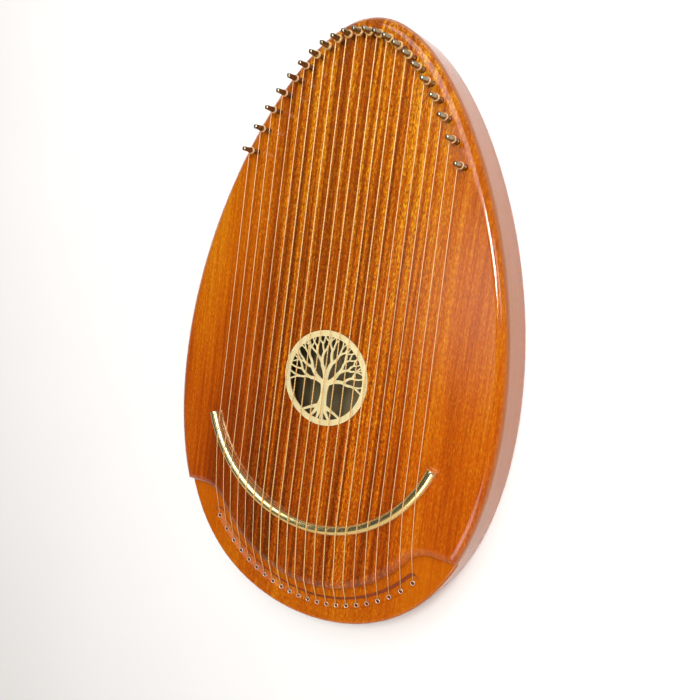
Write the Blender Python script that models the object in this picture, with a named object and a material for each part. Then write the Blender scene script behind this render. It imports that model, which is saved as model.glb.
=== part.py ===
"""Lap harp: an egg-shaped mahogany body with 22 strings over a curved brass bridge.

Run with: blender --background --python part.py
Lengths are metres, +Z is up. The harp lies on its back. +Y runs along the strings to the tuning
pins, +Z comes out of the soundboard, and the origin is under the middle of the body.
"""
import math

import bmesh
import bpy
from mathutils import Matrix, Vector
from mathutils.geometry import delaunay_2d_cdt

# Body
BODY_LENGTH = 0.568
HALF_LENGTH = BODY_LENGTH / 2
HALF_WIDTH_TERMS = (0.1703, -0.0355, 0.0029, -0.0155, 0.0066)
BODY_DEPTH = 0.055
OUTLINE_STEPS = 72
FRONT_ROUND = 0.010
BACK_ROUND = 0.004
ROUND_STEPS = 4
SOUNDBOARD_THICKNESS = 0.0045
BACK_THICKNESS = 0.0045
SIDE_THICKNESS = 0.007
SEAM = 0.0003

# Ledge under the lower end of the soundboard, and the channel routed in it
LEDGE_DEPTH = 0.011
LEDGE_ROUND = 0.003
ARC_CENTRE_Y = -0.121
LEDGE_RADIUS = 0.1292
LEDGE_FILLET = 0.030
SHOULDER_Y = -0.1838
CHANNEL_RADIUS = 0.1442
CHANNEL_WIDTH = 0.0092
CHANNEL_DEPTH = 0.0024
CHANNEL_HALF_ANGLE = math.radians(52.6)
TAIL_BLOCK_Y = -0.165
TAIL_BLOCK_RADIUS = 0.112

# Strings and the two rows that hold them
STRING_COUNT = 22
HOLE_PITCH = 0.01068
HOLE_RADIUS_LINE = 0.1462
STRING_HOLE_RADIUS = 0.0014
BALL_HOLE_RADIUS = 0.0030
BALL_HOLE_DEPTH = 0.0080
PIN_PITCH = 0.01027
PIN_ROW_SCALE = 0.150
PIN_ROW_TERMS = (0.2662, -0.2132, 0.0440, -0.0755)
PLAIN_STRING = 0.00055
BASS_STRING = 0.00110
FIRST_BASS = 6
LAST_BASS = 15
STRING_GAP = 0.0003
EDGE_CLEARANCE = 0.00045
PATH_SAMPLES = 32
WINDING_TURNS = 2
TURN_POINTS = 8
WINDING_GAP = 0.0005
WINDING_HEIGHT = 0.0110

# Tuning pins
PIN_RADIUS = 0.0025
PIN_SIDES = 12
PIN_EXPOSED = 0.023
PIN_BURIED = 0.019
PIN_HEAD_START = 0.0150
PIN_HEAD_HALF = 0.00205
PIN_TOP_HALF = 0.00185
PIN_SQUARENESS = 5
PIN_CLEARANCE = 0.0004
PIN_BLOCK_WIDTH = 0.026
PIN_BLOCK_DEPTH = 0.030
PIN_BLOCK_END_Y = 0.140

# Brass bridge, a bent bar with a rounded top
BRIDGE_CENTRE = (-0.0012, -0.0601)
BRIDGE_RADIUS = 0.1289
BRIDGE_HALF_ANGLE = math.radians(70.3)
BRIDGE_WIDTH = 0.0100
BRIDGE_HEIGHT = 0.0070
BRIDGE_STEPS = 26

# Sound hole and its pierced rosette
ROSE_Y = -0.045
ROSE_RADIUS = 0.045
ROSE_RING_WIDTH = 0.0055
ROSE_THICKNESS = 0.0012
ROSE_PROUD = 0.0004
ROSE_RECESS_CLEARANCE = 0.0004
SOUND_HOLE_RADIUS = 0.0410
ROSE_STEPS = 48

# Eyelet rims in the channel and the ball ends of the strings
EYELET_RADIUS = 0.0025
EYELET_HEIGHT = 0.0006
BALL_RADIUS = 0.0019
BALL_LENGTH = 0.0036
BALL_NECK = 0.0005
SMALL_SIDES = 8

# Braces
BRACE_WIDTH = 0.008
BRACE_HEIGHT = 0.012
BRACE_END_HEIGHT = 0.005
BRACE_TAPER = 0.035
BRACE_END_GAP = 0.002
SOUNDBOARD_BRACES = {"upper": 0.100, "middle": 0.012, "lower": -0.100}
BACK_BRACES = {"upper": 0.070, "lower": -0.112}

FACE = BODY_DEPTH
LEDGE = FACE - LEDGE_DEPTH
CHANNEL_FLOOR = LEDGE - CHANNEL_DEPTH
BOARD_UNDERSIDE = FACE - SOUNDBOARD_THICKNESS + SEAM / 2
CARCASS_TOP = FACE - SOUNDBOARD_THICKNESS - SEAM / 2
BACK_TOP = BACK_THICKNESS - SEAM / 2
CARCASS_BOTTOM = BACK_THICKNESS + SEAM / 2
BRIDGE_TOP = FACE + SEAM + BRIDGE_HEIGHT
BEYOND = 0.010


def make_material(name, colour, roughness, metallic):
    material = bpy.data.materials.new(name)
    material.use_nodes = True
    shader = material.node_tree.nodes["Principled BSDF"]
    shader.inputs["Base Color"].default_value = (*colour, 1)
    shader.inputs["Roughness"].default_value = roughness
    shader.inputs["Metallic"].default_value = metallic
    return material


def make_collection(name):
    collection = bpy.data.collections.new(name)
    bpy.context.scene.collection.children.link(collection)
    return collection


def add_part(name, shape, material, location=(0, 0, 0), smooth_angle=35):
    """Makes a named object from a bmesh or a finished mesh and shades it smooth."""
    mesh = shape
    if isinstance(shape, bmesh.types.BMesh):
        mesh = bpy.data.meshes.new(name)
        shape.to_mesh(mesh)
        shape.free()
        mesh.materials.append(material)
        mesh.shade_smooth()
        mesh.set_sharp_from_angle(angle=math.radians(smooth_angle))
    part = bpy.data.objects.new(name, mesh)
    part.location = location
    PARTS.objects.link(part)
    return part


def add_cutter(name, shape):
    mesh = bpy.data.meshes.new(name)
    shape.to_mesh(mesh)
    shape.free()
    cutter = bpy.data.objects.new(name, mesh)
    cutter.hide_render = True
    cutter.display_type = "WIRE"
    CUTTERS.objects.link(cutter)
    return cutter


def boolean(part, operation, cutter):
    modifier = part.modifiers.new(cutter.name, "BOOLEAN")
    modifier.operation = operation
    modifier.object = cutter
    modifier.solver = "EXACT"


# Outlines in plan, as lists of points that run anticlockwise

def body_point(turn, inset=0.0):
    """A point of the egg outline. A turn of 0 is the widest side at +X, a quarter turn the top."""
    rise = math.sin(turn)
    width = sum(term * rise ** power for power, term in enumerate(HALF_WIDTH_TERMS))
    point = Vector((math.cos(turn) * width, HALF_LENGTH * rise))
    if inset:
        step = 0.001
        along = (body_point(turn + step) - body_point(turn - step)).normalized()
        point += Vector((-along.y, along.x)) * inset
    return point


def body_turns():
    return [math.tau * step / OUTLINE_STEPS for step in range(OUTLINE_STEPS)]


def body_outline(inset=0.0):
    return [body_point(turn, inset) for turn in body_turns()]


def half_width(y):
    return body_point(math.asin(y / HALF_LENGTH)).x


def arc(centre, radius, start, end, steps):
    angles = [start + (end - start) * step / steps for step in range(steps + 1)]
    return [Vector(centre) + radius * Vector((math.cos(a), math.sin(a))) for a in angles]


def fillet_centre():
    """Centre of the fillet between the ledge's arc and its straight shoulder, at +X."""
    y = SHOULDER_Y - LEDGE_FILLET
    x = math.sqrt((LEDGE_RADIUS + LEDGE_FILLET) ** 2 - (y - ARC_CENTRE_Y) ** 2)
    return Vector((x, y))


def ledge_edge():
    """The soundboard's lower edge, from the left shoulder through the arc to the right one."""
    right = fillet_centre()
    left = Vector((-right.x, right.y))
    lean = math.atan2(ARC_CENTRE_Y - right.y, right.x)
    shoulder_x = half_width(SHOULDER_Y)
    points = [Vector((-shoulder_x, SHOULDER_Y))]
    points += arc(left, LEDGE_FILLET, math.pi / 2, lean, 5)
    points += arc((0, ARC_CENTRE_Y), LEDGE_RADIUS, math.pi + lean, math.tau - lean, 24)[1:-1]
    points += arc(right, LEDGE_FILLET, math.pi - lean, math.pi / 2, 5)
    points.append(Vector((shoulder_x, SHOULDER_Y)))
    return points


def soundboard_outline():
    upper = [body_point(turn) for turn in body_turns()]
    upper = [point for point in upper if point.y > SHOULDER_Y + 0.002]
    upper.sort(key=lambda point: math.atan2(point.x, point.y - SHOULDER_Y), reverse=True)
    return upper + ledge_edge()


def slot_outline(radius, width, half_angle):
    """A curved slot with round ends, bent around the arc centre of the ledge."""
    centre = Vector((0, ARC_CENTRE_Y))
    down = -math.pi / 2
    points = []
    for side in (1, -1):
        tip = down + side * half_angle
        tip_centre = centre + radius * Vector((math.cos(tip), math.sin(tip)))
        bend = arc(centre, radius + side * width / 2, down - side * half_angle, tip, 24)
        start = tip if side == 1 else tip + math.pi
        cap = arc(tip_centre, width / 2, start, start + math.pi, 6)
        points += bend + cap[1:-1]
    return points


# Solid building with bmesh

def prism(outline, bottom, top):
    shape = bmesh.new()
    ring = [shape.verts.new((point.x, point.y, bottom)) for point in outline]
    face = shape.faces.new(ring)
    lifted = bmesh.ops.extrude_face_region(shape, geom=[face])["geom"]
    moved = [item for item in lifted if isinstance(item, bmesh.types.BMVert)]
    bmesh.ops.translate(shape, verts=moved, vec=(0, 0, top - bottom))
    bmesh.ops.recalc_face_normals(shape, faces=shape.faces)
    return shape


def round_rim(shape, height, radius, steps, below_y=1.0):
    """Rounds the outline edges at a height, over the whole rim or only where y is low enough."""
    def on_rim(edge):
        return all(abs(v.co.z - height) < 1e-6 and v.co.y < below_y for v in edge.verts)
    rim = [edge for edge in shape.edges if on_rim(edge)]
    bmesh.ops.bevel(shape, geom=rim, offset=radius, offset_type="OFFSET", segments=steps,
                    profile=0.5, affect="EDGES", clamp_overlap=False, material=-1)


def cut_away(shape, point, normal):
    """Removes what lies on the normal's side of a plane and closes the cut."""
    everything = shape.verts[:] + shape.edges[:] + shape.faces[:]
    cut = bmesh.ops.bisect_plane(shape, geom=everything, dist=1e-7, plane_co=point,
                                 plane_no=normal, clear_outer=True)["geom_cut"]
    edges = [item for item in cut if isinstance(item, bmesh.types.BMEdge)]
    bmesh.ops.edgeloop_fill(shape, edges=edges)
    bmesh.ops.recalc_face_normals(shape, faces=shape.faces)


def rod(radius, bottom, top, sides):
    """A cylinder whose flats, not its corners, stand at the radius."""
    shape = bmesh.new()
    corner = radius / math.cos(math.pi / sides)
    bmesh.ops.create_cone(shape, cap_ends=True, segments=sides, radius1=corner, radius2=corner,
                          depth=top - bottom)
    bmesh.ops.translate(shape, verts=shape.verts, vec=(0, 0, (top + bottom) / 2))
    return shape


def repeat(shape, places):
    """One bmesh with a copy of the shape at each place."""
    pattern = bpy.data.meshes.new("pattern")
    shape.to_mesh(pattern)
    shape.free()
    group = bmesh.new()
    for place in places:
        known = len(group.verts)
        group.from_mesh(pattern)
        group.verts.ensure_lookup_table()
        bmesh.ops.translate(group, verts=group.verts[known:], vec=place)
    bpy.data.meshes.remove(pattern)
    return group


# Where each string starts and ends in plan

def string_offset(index):
    return index - (STRING_COUNT - 1) / 2


def hole_place(index):
    x = string_offset(index) * HOLE_PITCH
    return Vector((x, ARC_CENTRE_Y - math.sqrt(HOLE_RADIUS_LINE ** 2 - x ** 2), 0))


def pin_place(index):
    x = string_offset(index) * PIN_PITCH
    across = (x / PIN_ROW_SCALE) ** 2
    y = sum(term * across ** power for power, term in enumerate(PIN_ROW_TERMS))
    return Vector((x, y, 0))


HOLES = [hole_place(index) for index in range(STRING_COUNT)]
PINS = [pin_place(index) for index in range(STRING_COUNT)]


# Body pieces

def make_soundboard():
    shape = prism(soundboard_outline(), LEDGE, FACE)
    round_rim(shape, FACE, FRONT_ROUND, ROUND_STEPS)
    cut_away(shape, (0, 0, BOARD_UNDERSIDE), (0, 0, -1))
    board = add_part("soundboard", shape, MAHOGANY)
    hole = turned_disc(SOUND_HOLE_RADIUS, BOARD_UNDERSIDE - BEYOND, FACE + BEYOND)
    recess_floor = FACE + ROSE_PROUD - ROSE_THICKNESS - SEAM
    recess = turned_disc(ROSE_RADIUS + ROSE_RECESS_CLEARANCE, recess_floor, FACE + BEYOND)
    boolean(board, "DIFFERENCE", add_cutter("sound_hole_cutter", hole))
    boolean(board, "DIFFERENCE", add_cutter("rosette_recess_cutter", recess))
    pin_hole = rod(PIN_RADIUS + PIN_CLEARANCE, BOARD_UNDERSIDE - BEYOND, FACE + BEYOND, SMALL_SIDES)
    boolean(board, "DIFFERENCE", add_cutter("pin_hole_cutter", repeat(pin_hole, PINS)))


def turned_disc(radius, bottom, top):
    disc = rod(radius, bottom, top, ROSE_STEPS)
    bmesh.ops.translate(disc, verts=disc.verts, vec=(0, ROSE_Y, 0))
    return disc


def make_sides():
    """Two bent sides that meet at the top of the body and stop at the tail block."""
    hollow = add_cutter("side_hollow_cutter", prism(body_outline(SIDE_THICKNESS), -BEYOND, FACE + BEYOND))
    for name, side in (("side_left", -1), ("side_right", 1)):
        shape = prism(body_outline(), CARCASS_BOTTOM, FACE)
        round_rim(shape, FACE, FRONT_ROUND, ROUND_STEPS)
        cut_away(shape, (0, 0, CARCASS_TOP), (0, 0, 1))
        cut_away(shape, (0, TAIL_BLOCK_Y + SEAM / 2, 0), (0, -1, 0))
        cut_away(shape, (side * SEAM / 2, 0, 0), (-side, 0, 0))
        boolean(add_part(name, shape, MAHOGANY), "DIFFERENCE", hollow)


def make_back_board():
    shape = prism(body_outline(), 0, BACK_TOP)
    round_rim(shape, 0, BACK_ROUND, 3)
    board = add_part("back_board", shape, MAHOGANY)
    hole = rod(BALL_HOLE_RADIUS, -BEYOND, BACK_TOP + BEYOND, SMALL_SIDES)
    boolean(board, "DIFFERENCE", add_cutter("back_hole_cutter", repeat(hole, HOLES)))


def make_pin_block():
    """A hardwood crescent inside the upper rim that the tuning pins are driven into."""
    bottom = CARCASS_TOP - PIN_BLOCK_DEPTH
    shape = prism(body_outline(SIDE_THICKNESS + SEAM), bottom, CARCASS_TOP)
    cut_away(shape, (0, PIN_BLOCK_END_Y, 0), (0, -1, 0))
    block = add_part("pin_block", shape, MAPLE)
    inner = prism(body_outline(SIDE_THICKNESS + PIN_BLOCK_WIDTH), bottom - BEYOND, CARCASS_TOP + BEYOND)
    boolean(block, "DIFFERENCE", add_cutter("pin_block_inner_cutter", inner))
    socket_floor = FACE - PIN_BURIED - SEAM
    socket = rod(PIN_RADIUS + PIN_CLEARANCE, socket_floor, CARCASS_TOP + BEYOND, SMALL_SIDES)
    boolean(block, "DIFFERENCE", add_cutter("pin_socket_cutter", repeat(socket, PINS)))


def make_tail_block():
    """The solid lower end: ledge, channel, string holes and the support of the soundboard's end."""
    lower = prism(body_outline(), CARCASS_BOTTOM, LEDGE)
    round_rim(lower, LEDGE, LEDGE_ROUND, 2, below_y=SHOULDER_Y)
    cut_away(lower, (0, TAIL_BLOCK_Y - SEAM / 2, 0), (0, 1, 0))
    upper = prism(soundboard_outline(), LEDGE - BEYOND, FACE)
    round_rim(upper, FACE, FRONT_ROUND, ROUND_STEPS)
    cut_away(upper, (0, 0, CARCASS_TOP), (0, 0, 1))
    cut_away(upper, (0, TAIL_BLOCK_Y - SEAM / 2, 0), (0, 1, 0))
    block = add_part("tail_block", lower, MAHOGANY)
    boolean(block, "UNION", add_cutter("tail_shoulder_joiner", upper))
    cavity = rod(TAIL_BLOCK_RADIUS, -BEYOND, FACE + BEYOND, ROSE_STEPS)
    bmesh.ops.translate(cavity, verts=cavity.verts, vec=(0, ARC_CENTRE_Y, 0))
    boolean(block, "DIFFERENCE", add_cutter("tail_cavity_cutter", cavity))
    slot = slot_outline(CHANNEL_RADIUS, CHANNEL_WIDTH, CHANNEL_HALF_ANGLE)
    boolean(block, "DIFFERENCE", add_cutter("channel_cutter", prism(slot, CHANNEL_FLOOR, FACE + BEYOND)))
    rim = rod(EYELET_RADIUS, CHANNEL_FLOOR - EYELET_HEIGHT, CHANNEL_FLOOR + EYELET_HEIGHT, SMALL_SIDES)
    boolean(block, "UNION", add_cutter("eyelet_joiner", repeat(rim, HOLES)))
    bore = rod(STRING_HOLE_RADIUS, BALL_HOLE_DEPTH - BEYOND, FACE, SMALL_SIDES)
    boolean(block, "DIFFERENCE", add_cutter("string_hole_cutter", repeat(bore, HOLES)))
    pocket = rod(BALL_HOLE_RADIUS, -BEYOND, BALL_HOLE_DEPTH, SMALL_SIDES)
    boolean(block, "DIFFERENCE", add_cutter("ball_pocket_cutter", repeat(pocket, HOLES)))


def make_brace(name, y, glued, inward):
    """A bar across the body with thinned ends, glued to a board and standing into the cavity."""
    half = half_width(y) - SIDE_THICKNESS - BRACE_END_GAP
    edge = [(half, 0), (half, BRACE_END_HEIGHT), (half - BRACE_TAPER, BRACE_HEIGHT)]
    profile = edge + [(-x, height) for x, height in reversed(edge)]
    outline = [Vector((x, inward * height)) for x, height in profile]
    if inward < 0:
        outline.reverse()
    shape = prism(outline, -BRACE_WIDTH / 2, BRACE_WIDTH / 2)
    bmesh.ops.rotate(shape, verts=shape.verts, cent=(0, 0, 0), matrix=Matrix.Rotation(math.pi / 2, 3, "X"))
    add_part(name, shape, SPRUCE, location=(0, y, glued))


# Brass pieces

def make_bridge():
    """A bar of rounded section bent to an arc, with square-cut ends."""
    half = BRIDGE_WIDTH / 2
    crown = BRIDGE_HEIGHT - half
    section = [Vector((half, 0)), Vector((half, crown))]
    section += arc((0, crown), half, 0, math.pi, 6)[1:-1]
    section += [Vector((-half, crown)), Vector((-half, 0))]
    shape = bmesh.new()
    loop = [shape.verts.new((BRIDGE_RADIUS + point.x, 0, point.y)) for point in section]
    shape.faces.new(loop)
    start = -math.pi / 2 - BRIDGE_HALF_ANGLE
    bmesh.ops.rotate(shape, verts=shape.verts, cent=(0, 0, 0), matrix=Matrix.Rotation(start, 3, "Z"))
    bmesh.ops.spin(shape, geom=shape.verts[:] + shape.edges[:] + shape.faces[:], cent=(0, 0, 0),
                   axis=(0, 0, 1), angle=2 * BRIDGE_HALF_ANGLE, steps=BRIDGE_STEPS)
    open_edges = [edge for edge in shape.edges if edge.is_boundary]
    bmesh.ops.holes_fill(shape, edges=open_edges)
    bmesh.ops.recalc_face_normals(shape, faces=shape.faces)
    add_part("bridge", shape, BRASS, location=(*BRIDGE_CENTRE, FACE + SEAM))


def stroke(points, widths):
    """The outline of a flat limb along a path, as wide at each point as its width says."""
    left = []
    right = []
    for index, (point, width) in enumerate(zip(points, widths)):
        before = points[max(index - 1, 0)]
        after = points[min(index + 1, len(points) - 1)]
        along = (after - before).normalized()
        across = Vector((-along.y, along.x)) * width / 2
        left.append(point + across)
        right.append(point - across)
    return right + left[::-1]


def heading(angle):
    return Vector((math.cos(angle), math.sin(angle)))


def grow(limbs, start, angle, length, width, level, sway):
    """Adds a bent limb and, above it, the two that fork from its end."""
    reach = ROSE_RADIUS - ROSE_RING_WIDTH * 0.4
    bend = 0.22 * sway
    middle = start + heading(angle + bend) * length * 0.5
    end = middle + heading(angle - bend) * length * 0.5
    if end.length > reach:
        end = end.normalized() * reach
    limbs.append(stroke([start, middle, end], [width, width * 0.85, width * 0.62]))
    if level == 0 or end.length >= reach - 0.001:
        return
    root = end - (end - middle).normalized() * width * 0.25
    for fork, (turn, share) in enumerate(((0.42, 0.80), (-0.50, 0.74))):
        grow(limbs, root, angle + turn * sway, length * share, width * 0.66, level - 1,
             sway if fork == 0 else -sway)


def tree_limbs():
    """Trunk, roots and boughs of a bare tree that fills the sound hole."""
    fork = Vector((0.0, -0.007))
    foot = Vector((0.0005, -0.027))
    limbs = [stroke([foot, (foot + fork) / 2, fork], [0.0120, 0.0076, 0.0088])]
    rim = ROSE_RADIUS - ROSE_RING_WIDTH * 0.4
    for target, width in ((205, 0.0030), (232, 0.0036), (262, 0.0030), (300, 0.0036), (333, 0.0030)):
        end = heading(math.radians(target)) * rim
        knee = (foot * 0.45 + end * 0.55) + Vector((0, 0.0022))
        limbs.append(stroke([foot + Vector((end.x * 0.06, 0.002)), knee, end],
                            [width * 1.7, width, width * 0.8]))
    for target, length, sway in ((158, 0.0185, 1), (116, 0.0170, -1), (84, 0.0175, 1),
                                 (52, 0.0170, -1), (20, 0.0185, 1)):
        base = fork + heading(math.radians(target)) * 0.002
        grow(limbs, base, math.radians(target), length, 0.0044, 2, sway)
    return limbs


def make_rosette():
    """A flat brass ring with the pierced tree, cut from one sheet."""
    outer = arc((0, 0), ROSE_RADIUS, 0, math.tau, ROSE_STEPS)[:-1]
    inner = arc((0, 0), ROSE_RADIUS - ROSE_RING_WIDTH, 0, math.tau, ROSE_STEPS)[:-1]
    corners = outer + inner
    faces = []
    for step in range(ROSE_STEPS):
        after = (step + 1) % ROSE_STEPS
        faces.append([step, after, after + ROSE_STEPS, step + ROSE_STEPS])
    for limb in tree_limbs():
        faces.append(list(range(len(corners), len(corners) + len(limb))))
        corners += limb
    merged = delaunay_2d_cdt(corners, [], faces, 1, 1e-6)
    shape = bmesh.new()
    verts = [shape.verts.new((corner.x, corner.y, 0)) for corner in merged[0]]
    for face, sources in zip(merged[2], merged[5]):
        if sources:
            shape.faces.new([verts[index] for index in face])
    loose = [vert for vert in shape.verts if not vert.link_faces]
    bmesh.ops.delete(shape, geom=loose, context="VERTS")
    lifted = bmesh.ops.extrude_face_region(shape, geom=shape.faces[:])["geom"]
    moved = [item for item in lifted if isinstance(item, bmesh.types.BMVert)]
    bmesh.ops.translate(shape, verts=moved, vec=(0, 0, ROSE_THICKNESS))
    bmesh.ops.recalc_face_normals(shape, faces=shape.faces)
    add_part("rosette", shape, BRASS, location=(0, ROSE_Y, FACE + ROSE_PROUD - ROSE_THICKNESS))


# Tuning pins

def rounded_square(angle, half):
    power = PIN_SQUARENESS
    spread = abs(math.cos(angle)) ** power + abs(math.sin(angle)) ** power
    return half * spread ** (-1 / power)


def make_pins():
    """One mesh for all pins: a round shank and a tapered square head for the tuning key."""
    shape = bmesh.new()
    rings = [(-PIN_BURIED, PIN_RADIUS, False), (PIN_HEAD_START - 0.001, PIN_RADIUS, False),
             (PIN_HEAD_START, PIN_HEAD_HALF, True), (PIN_EXPOSED, PIN_TOP_HALF, True)]
    lower = None
    for height, size, squared in rings:
        ring = []
        for side in range(PIN_SIDES):
            angle = math.tau * (side + 0.5) / PIN_SIDES
            radius = rounded_square(angle, size) if squared else size
            ring.append(shape.verts.new((radius * math.cos(angle), radius * math.sin(angle), height)))
        edges = [shape.edges.new((a, b)) for a, b in zip(ring, ring[1:] + ring[:1])]
        if lower:
            bmesh.ops.bridge_loops(shape, edges=lower + edges)
        lower = edges
    open_edges = [edge for edge in shape.edges if edge.is_boundary]
    bmesh.ops.holes_fill(shape, edges=open_edges)
    bmesh.ops.recalc_face_normals(shape, faces=shape.faces)
    first = add_part("tuning_pin_01", shape, STEEL, location=(PINS[0].x, PINS[0].y, FACE))
    for index in range(1, STRING_COUNT):
        place = (PINS[index].x, PINS[index].y, FACE)
        add_part(f"tuning_pin_{index + 1:02d}", first.data, STEEL, location=place)


# Strings

def is_bass(index):
    return FIRST_BASS <= index <= LAST_BASS


def string_radius(index):
    return (BASS_STRING if is_bass(index) else PLAIN_STRING) / 2


def wood_height(x, y):
    """Height of the soundboard, its rounded lower edge or the ledge under a point."""
    fillet = fillet_centre()
    lean = math.atan2(ARC_CENTRE_Y - fillet.y, fillet.x)
    side = abs(x)
    from_arc = math.hypot(side, y - ARC_CENTRE_Y)
    below = math.atan2(ARC_CENTRE_Y - y, side)
    if below > lean:
        inside = LEDGE_RADIUS - from_arc
    elif side < fillet.x:
        inside = math.hypot(side - fillet.x, y - fillet.y) - LEDGE_FILLET
    else:
        inside = y - SHOULDER_Y
    if inside < 0:
        return LEDGE
    if inside >= FRONT_ROUND:
        return FACE
    drop = FRONT_ROUND - math.sqrt(FRONT_ROUND ** 2 - (FRONT_ROUND - inside) ** 2)
    return FACE - drop


def upper_hull(profile):
    """The points that a taut string touches, from a list of (distance, height)."""
    hull = []
    for point in profile:
        while len(hull) > 1:
            (x0, z0), (x1, z1) = hull[-2:]
            if (z1 - z0) * (point[0] - x0) > (point[1] - z0) * (x1 - x0):
                break
            hull.pop()
        hull.append(point)
    return hull


def string_path(index):
    """Route of a string from its ball end, over the wood and the bridge, to its pin."""
    radius = string_radius(index)
    hole = HOLES[index]
    pin = PINS[index]
    wrap = PIN_RADIUS + STRING_GAP + radius
    tangent = Vector((pin.x - wrap, pin.y, 0))
    run = tangent - hole
    span = run.length
    along = run / span
    exit_height = CHANNEL_FLOOR + EYELET_HEIGHT + STRING_GAP + radius
    over_bridge = bridge_distance(hole, along)
    profile = [(0.0, exit_height)]
    for step in range(2, PATH_SAMPLES):
        distance = over_bridge * step / PATH_SAMPLES
        at = hole + along * distance
        profile.append((distance, wood_height(at.x, at.y) + EDGE_CLEARANCE + radius))
    profile.append((over_bridge, BRIDGE_TOP + STRING_GAP + radius))
    ball_top = BALL_HOLE_DEPTH - SEAM
    ball = (ball_top - BALL_LENGTH, ball_top - BALL_NECK, ball_top)
    route = [Vector((hole.x, hole.y, height)) for height in ball]
    for distance, height in upper_hull(profile):
        at = hole + along * distance
        route.append(Vector((at.x, at.y, height)))
    return route + winding(pin, wrap, radius)


def bridge_distance(hole, along):
    """How far along the string, in plan, the middle of the bridge is."""
    offset = hole - Vector((*BRIDGE_CENTRE, 0))
    middle = -offset.dot(along)
    return middle - math.sqrt(middle ** 2 - offset.length_squared + BRIDGE_RADIUS ** 2)


def winding(pin, wrap, radius):
    """Turns up the pin, clockwise from its left side, and a short end square to the pin."""
    pitch = 2 * radius + WINDING_GAP
    start = FACE + WINDING_HEIGHT
    points = []
    for step in range(WINDING_TURNS * TURN_POINTS + 1):
        turn = step / TURN_POINTS
        angle = math.pi - math.tau * turn
        side = Vector((math.cos(angle), math.sin(angle), 0)) * wrap
        points.append(Vector((pin.x, pin.y, start + pitch * turn)) + side)
    height = start + pitch * (WINDING_TURNS + 0.3)
    angle = math.pi - math.tau * 0.09
    out = Vector((math.cos(angle), math.sin(angle), 0))
    end = PIN_RADIUS + STRING_GAP
    points.append(Vector((pin.x, pin.y, height)) + out * (end + 2.4 * radius))
    points.append(Vector((pin.x, pin.y, height)) + out * end)
    return points


def least_gap(points, radius):
    """Smallest gap of a tube to itself, between points more than three diameters apart."""
    travelled = [0.0]
    for a, b in zip(points, points[1:]):
        travelled.append(travelled[-1] + (b - a).length)
    least = math.inf
    for i, a in enumerate(points):
        for j in range(i + 1, len(points)):
            if travelled[j] - travelled[i] > 6 * radius:
                least = min(least, (points[j] - a).length - 2 * radius)
    return least


def make_strings():
    gaps = []
    for index in range(STRING_COUNT):
        points = string_path(index)
        radius = string_radius(index)
        gaps.append(least_gap(points, radius))
        name = f"string_{index + 1:02d}"
        curve = bpy.data.curves.new(name, "CURVE")
        curve.dimensions = "3D"
        curve.bevel_depth = radius
        curve.bevel_resolution = 1
        curve.use_fill_caps = True
        spline = curve.splines.new("POLY")
        spline.points.add(len(points) - 1)
        for spot, point in zip(spline.points, points):
            spot.co = (*point, 1)
        for spot in spline.points[:2]:
            spot.radius = BALL_RADIUS / radius
        curve.materials.append(BRONZE if is_bass(index) else STEEL)
        PARTS.objects.link(bpy.data.objects.new(name, curve))
    print(f"least gap of a string to itself: {min(gaps) * 1000:.2f} mm")


for old in list(bpy.data.objects):
    bpy.data.objects.remove(old, do_unlink=True)
PARTS = make_collection("lap_harp")
CUTTERS = make_collection("cutters")
MAHOGANY = make_material("lacquered_mahogany", (0.42, 0.13, 0.03), 0.22, 0)
MAPLE = make_material("maple", (0.62, 0.44, 0.26), 0.5, 0)
SPRUCE = make_material("spruce", (0.70, 0.52, 0.30), 0.6, 0)
BRASS = make_material("polished_brass", (0.75, 0.56, 0.22), 0.2, 1)
STEEL = make_material("plated_steel", (0.45, 0.41, 0.36), 0.3, 1)
BRONZE = make_material("bronze_wound_string", (0.72, 0.50, 0.24), 0.35, 1)
make_soundboard()
make_sides()
make_back_board()
make_pin_block()
make_tail_block()
for place, across in SOUNDBOARD_BRACES.items():
    make_brace(f"soundboard_brace_{place}", across, CARCASS_TOP, -1)
for place, across in BACK_BRACES.items():
    make_brace(f"back_brace_{place}", across, CARCASS_BOTTOM, 1)
make_bridge()
make_rosette()
make_pins()
make_strings()
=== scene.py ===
"""Looks of the lap harp: lacquered mahogany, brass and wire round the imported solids.

Lengths are metres. +Y runs along the strings to the tuning pins and +Z comes out of the soundboard.
"""
import math

import bmesh
import bpy
from mathutils import Matrix, Vector
from mathutils.geometry import delaunay_2d_cdt


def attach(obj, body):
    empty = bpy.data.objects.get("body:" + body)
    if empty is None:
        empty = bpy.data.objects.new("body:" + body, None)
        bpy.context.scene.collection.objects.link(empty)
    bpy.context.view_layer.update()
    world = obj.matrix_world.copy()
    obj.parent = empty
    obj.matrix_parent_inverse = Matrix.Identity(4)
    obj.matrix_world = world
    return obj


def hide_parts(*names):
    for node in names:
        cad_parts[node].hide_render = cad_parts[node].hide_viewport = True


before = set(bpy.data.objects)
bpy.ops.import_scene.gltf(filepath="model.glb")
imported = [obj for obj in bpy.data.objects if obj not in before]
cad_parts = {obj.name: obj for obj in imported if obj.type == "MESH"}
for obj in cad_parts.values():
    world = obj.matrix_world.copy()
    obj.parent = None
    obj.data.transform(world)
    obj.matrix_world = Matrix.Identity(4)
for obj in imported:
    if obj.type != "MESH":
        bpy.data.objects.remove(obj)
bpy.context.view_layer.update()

# Body, as in the solids
HALF_LENGTH = 0.284
HALF_WIDTH_TERMS = (0.1703, -0.0355, 0.0029, -0.0155, 0.0066)
OUTLINE_STEPS = 288
FACE = 0.055
LEDGE = 0.044
BACK_TOP = 0.0045
BOARD_UNDERSIDE = 0.0505
SIDE_THICKNESS = 0.007
FRONT_ROUND = 0.010
LEDGE_ROUND = 0.003
BACK_ROUND = 0.004
BLOCK_Y = -0.165

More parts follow.
